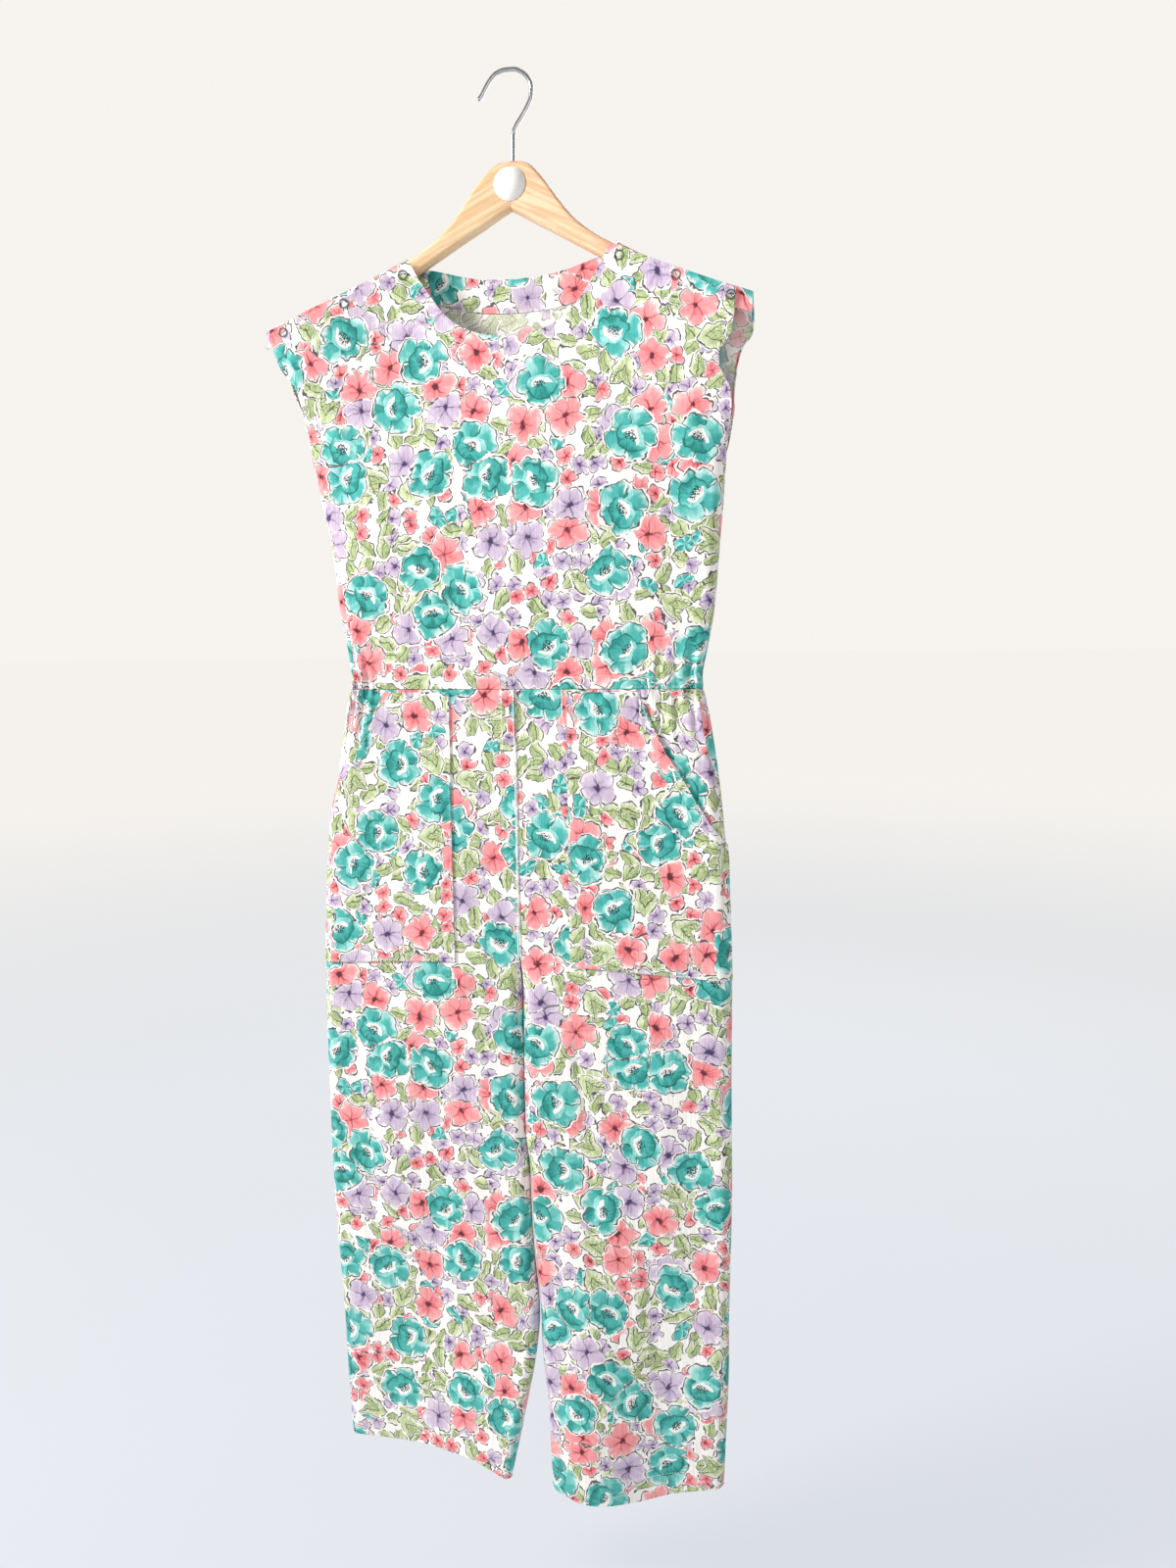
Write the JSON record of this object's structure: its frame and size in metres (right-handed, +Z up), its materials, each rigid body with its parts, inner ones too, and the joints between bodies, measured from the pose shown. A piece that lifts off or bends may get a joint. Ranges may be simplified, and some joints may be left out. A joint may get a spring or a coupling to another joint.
{
  "type": "sleeveless romper on a hanger",
  "caption": "Sleeveless cropped-leg romper in floral cotton, snapped at the shoulders, elastic waist and patch pockets, hanging on a wooden hanger.",
  "frame": {"origin": "inner top of the hanger's hook, where it hangs", "axes": "+Z up, the garment's front faces -Y, +X to the viewer's right seen from the front"},
  "size_m": [0.5074, 0.0616, 1.5331],
  "materials": {
    "printed_cotton": "matt floral-printed plain-weave cotton",
    "beech": "clear satin varnish",
    "bright_wire": "bright plated wire",
    "snap_metal": "gunmetal plating",
    "blank_paper": "matt white, blank"
  },
  "bodies": {
    "root": {"back_bodice": "printed_cotton", "back_leg_left": "printed_cotton", "back_leg_right": "printed_cotton", "back_neck_facing": "printed_cotton", "front_bodice": "printed_cotton", "front_leg_left": "printed_cotton", "front_leg_right": "printed_cotton", "hanger_hook": "bright_wire", "hanger_label": "blank_paper", "hanger_left_half": "beech", "hanger_right_half": "beech", "pocket_left": "printed_cotton", "pocket_right": "printed_cotton", "snap_left_1": "snap_metal", "snap_left_2": "snap_metal", "snap_left_3": "snap_metal", "snap_right_1": "snap_metal", "snap_right_2": "snap_metal", "snap_right_3": "snap_metal"}
  },
  "joints": []
}
